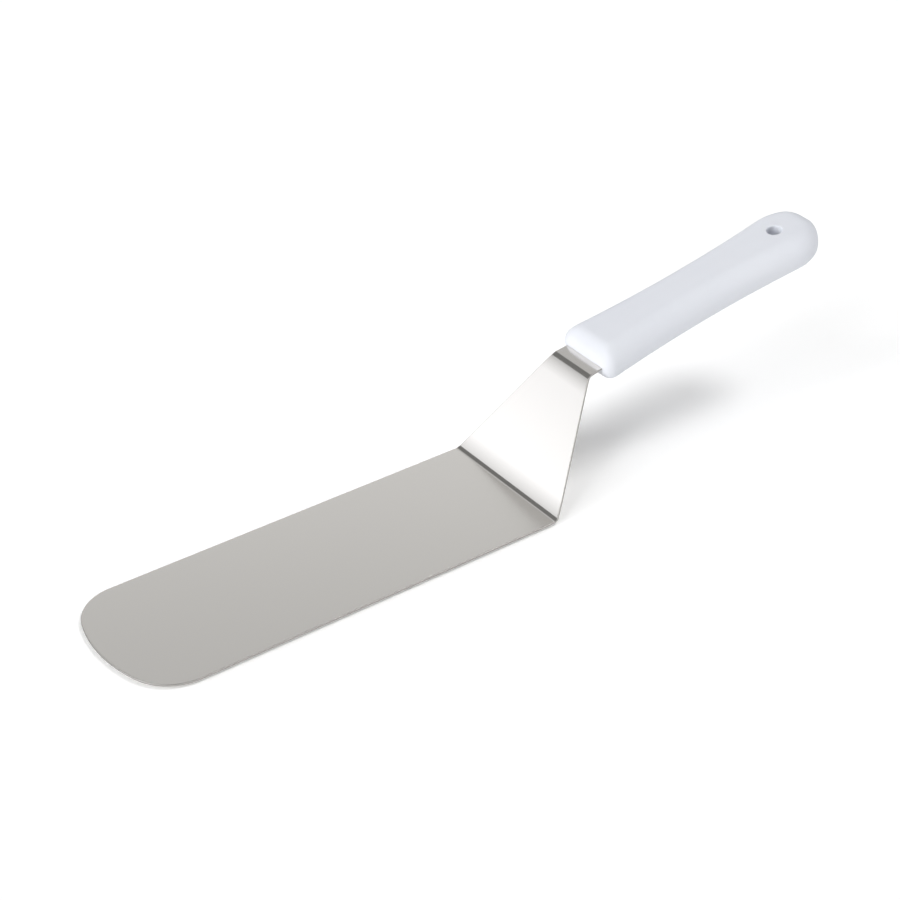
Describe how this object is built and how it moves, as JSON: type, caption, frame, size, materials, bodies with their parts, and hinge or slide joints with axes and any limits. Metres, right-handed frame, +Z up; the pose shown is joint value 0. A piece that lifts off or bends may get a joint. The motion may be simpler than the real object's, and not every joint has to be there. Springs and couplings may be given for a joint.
{
  "type": "pizza turner",
  "caption": "Offset pizza turner: long flat stainless blade with a bowed, round-cornered tip, a riser bent up at the heel, and a waisted white moulded handle with a hanging hole.",
  "frame": {"origin": "on the surface that the blade lies on, under the middle of the turner's length and width", "axes": "+X from the blade's tip to the handle's tail, +Y across the blade, +Z up from the blade's flat underside"},
  "size_m": [0.386, 0.0746, 0.0826],
  "materials": {
    "blade": "fine satin grain on stainless sheet",
    "handle": "satin white moulded polypropylene"
  },
  "bodies": {
    "root": {"blade": "blade", "handle": "handle"}
  },
  "joints": []
}
